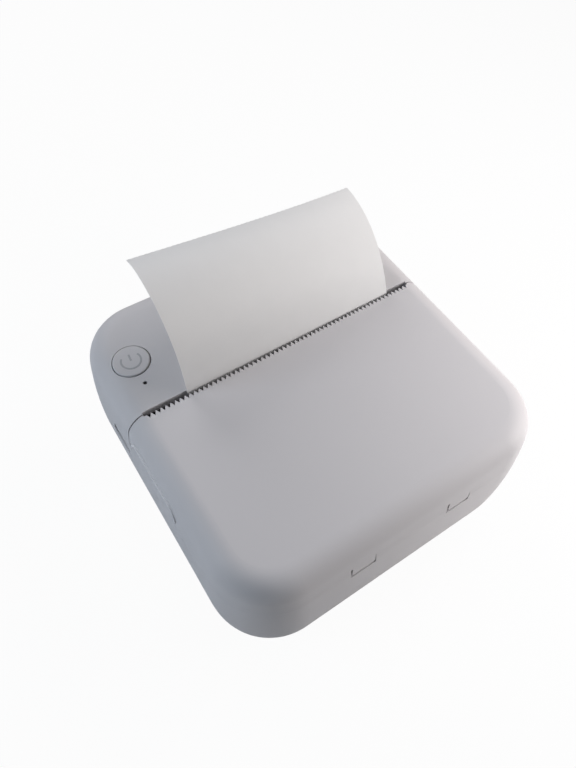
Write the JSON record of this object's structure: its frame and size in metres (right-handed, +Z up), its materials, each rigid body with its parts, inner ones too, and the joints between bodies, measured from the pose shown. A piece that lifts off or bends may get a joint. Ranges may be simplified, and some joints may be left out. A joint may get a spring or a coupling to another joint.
{
  "type": "thermal label printer",
  "caption": "Pocket thermal label printer: hinged paper lid with toothed tear bar, drop-in roll, spring-loaded print head and geared platen roller.",
  "frame": {"origin": "centre of the footprint, on the surface the feet stand on", "axes": "+Z up, -Y towards the lid hinge, +Y towards the rear deck, -X towards the button and charging port"},
  "size_m": [0.082, 0.0826, 0.0638],
  "materials": {
    "shell_white": "fine matte texture",
    "button_white": "matte",
    "steel": "ground",
    "spring_steel": "drawn wire",
    "screw_steel": "dark zinc",
    "zinc_sheet": "galvanised sheet",
    "circuit_board": "solder mask",
    "black_plastic": "matte",
    "clear_plastic": "clear",
    "cell_foil": "foil pouch",
    "grey_rubber": "matte",
    "platen_rubber": "ground",
    "gear_plastic": "natural acetal",
    "brass": "hobbed",
    "ceramic": "glazed strip",
    "aluminium": "extruded",
    "bin_plastic": "matte",
    "paper": "smooth thermal coating",
    "cardboard": "wound"
  },
  "bodies": {
    "casing": {"lower_casing": "shell_white", "upper_casing": "shell_white", "case_screws": "screw_steel", "frame_screws": "screw_steel", "board_screws": "screw_steel", "tact_switch": "black_plastic", "led_light_pipe": "clear_plastic", "status_led": "clear_plastic", "main_board": "circuit_board", "board_components": "black_plastic", "radio_module": "zinc_sheet", "usb_port": "zinc_sheet", "port_board": "circuit_board", "battery": "cell_foil", "rubber_feet": "grey_rubber", "mechanism_frame": "zinc_sheet", "head_pivot_shaft": "steel", "head_springs": "spring_steel", "gear_axles": "steel", "axle_clips": "steel", "stepper_motor": "zinc_sheet", "paper_bin": "bin_plastic", "paper_strip": "paper"},
    "lid": {"paper_lid": "shell_white", "hinge_pins": "steel", "platen_bushes": "gear_plastic"},
    "platen": {"platen_shaft": "steel", "platen_roller": "platen_rubber", "platen_gear": "gear_plastic"},
    "print_head": {"head_ceramic": "ceramic", "head_heatsink": "aluminium"},
    "idler_b": {"idler_gear_b": "gear_plastic"},
    "idler_a": {"idler_gear_a": "gear_plastic"},
    "motor_rotor": {"motor_pinion": "brass", "motor_shaft": "steel"},
    "roll": {"paper_roll": "paper", "roll_core": "cardboard"},
    "button": {"power_button": "button_white", "switch_plunger": "black_plastic"}
  },
  "joints": [
    {"name": "lid_hinge", "type": "hinge", "parent": "casing", "child": "lid", "pos_m": [0, -0.03892, 0.0296], "axis": [1, 0, 0], "range_deg": [0, 70]},
    {"name": "roll_spin", "type": "hinge", "parent": "casing", "child": "roll", "pos_m": [0.00205, -0.02, 0.0194], "axis": [1, 0, 0], "continuous": true},
    {"name": "platen_spin", "type": "hinge", "parent": "lid", "child": "platen", "pos_m": [0, 0.00384, 0.0304], "axis": [1, 0, 0], "continuous": true},
    {"name": "idler_b_spin", "type": "hinge", "parent": "casing", "child": "idler_b", "pos_m": [0, 0.00384, 0.0224], "axis": [1, 0, 0], "continuous": true},
    {"name": "idler_a_spin", "type": "hinge", "parent": "casing", "child": "idler_a", "pos_m": [0, 0.01413, 0.01851], "axis": [1, 0, 0], "continuous": true},
    {"name": "motor_spin", "type": "hinge", "parent": "casing", "child": "motor_rotor", "pos_m": [0, 0.02289, 0.02057], "axis": [1, 0, 0], "continuous": true},
    {"name": "head_pivot", "type": "hinge", "parent": "casing", "child": "print_head", "pos_m": [0, 0.0129, 0.024], "axis": [-1, 0, 0], "range_deg": [0, 1.5], "stiffness_Nm_per_rad": 0.2, "springref_deg": -4.58, "deforming": ["head_springs"]},
    {"name": "button_press", "type": "slide", "parent": "casing", "child": "button", "axis": [0, 0, -1], "range_m": [0, 0.0006], "stiffness_N_per_m": 800, "springref_m": -0.0005}
  ],
  "couplings": [
    {"joint": "platen_spin", "follows": "roll_spin", "ratio": 3.4762},
    {"joint": "idler_b_spin", "follows": "roll_spin", "ratio": -5.7937},
    {"joint": "idler_a_spin", "follows": "roll_spin", "ratio": 15.45},
    {"joint": "motor_spin", "follows": "roll_spin", "ratio": -30.899}
  ]
}
